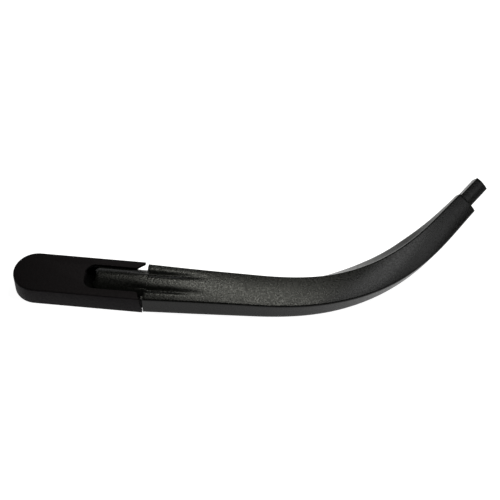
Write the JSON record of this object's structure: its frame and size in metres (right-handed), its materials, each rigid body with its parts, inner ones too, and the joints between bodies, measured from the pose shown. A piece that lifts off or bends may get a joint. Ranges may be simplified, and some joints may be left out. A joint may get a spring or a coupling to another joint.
{
  "type": "rear wiper arm",
  "caption": "Curved, twisted rear wiper arm with a flip-up cover over its mounting head, a spring-loaded lifting hinge and a narrow tip for a blade.",
  "frame": {"origin": "on the spindle bore's axis, in the plane of the cover's rim", "axes": "+X from the head towards the tip, +Y to the side that the arm curves to, +Z away from the glass"},
  "size_m": [0.3148, 0.1285, 0.021],
  "materials": {
    "cover": "satin moulded",
    "arm": "satin fine-grained black paint",
    "casting": "cast, dip-painted black",
    "steel": "turned, zinc plated",
    "spring": "oiled spring wire",
    "bush": "natural moulded"
  },
  "bodies": {
    "head": {"mounting_head": "casting", "spindle_insert": "steel", "hinge_pin": "steel", "link_pin": "steel"},
    "cover": {"cover_cap": "cover"},
    "arm": {"arm_shell": "arm", "bush_near": "bush", "bush_far": "bush", "anchor_rod": "steel", "blade_pin": "steel"},
    "hook": {"hook_link": "spring", "tension_spring": "spring"}
  },
  "joints": [
    {"name": "arm_lift", "type": "hinge", "parent": "head", "child": "arm", "pos_m": [0.053, 0, 0.0074], "axis": [0, -1, 0], "range_deg": [0, 45], "stiffness_Nm_per_rad": 0.3, "springref_deg": -57.3},
    {"name": "hook_swing", "type": "hinge", "parent": "head", "child": "hook", "pos_m": [0.052, 0, 0.0025], "axis": [0, -1, 0], "range_deg": [0, 43.9], "deforming": ["tension_spring"]},
    {"name": "cover_flip", "type": "hinge", "parent": "head", "child": "cover", "pos_m": [0.053, 0, 0.0074], "axis": [0, 1, 0], "range_deg": [0, 80]}
  ],
  "couplings": [
    {"joint": "hook_swing", "follows": "arm_lift", "ratio": 0.9682}
  ]
}
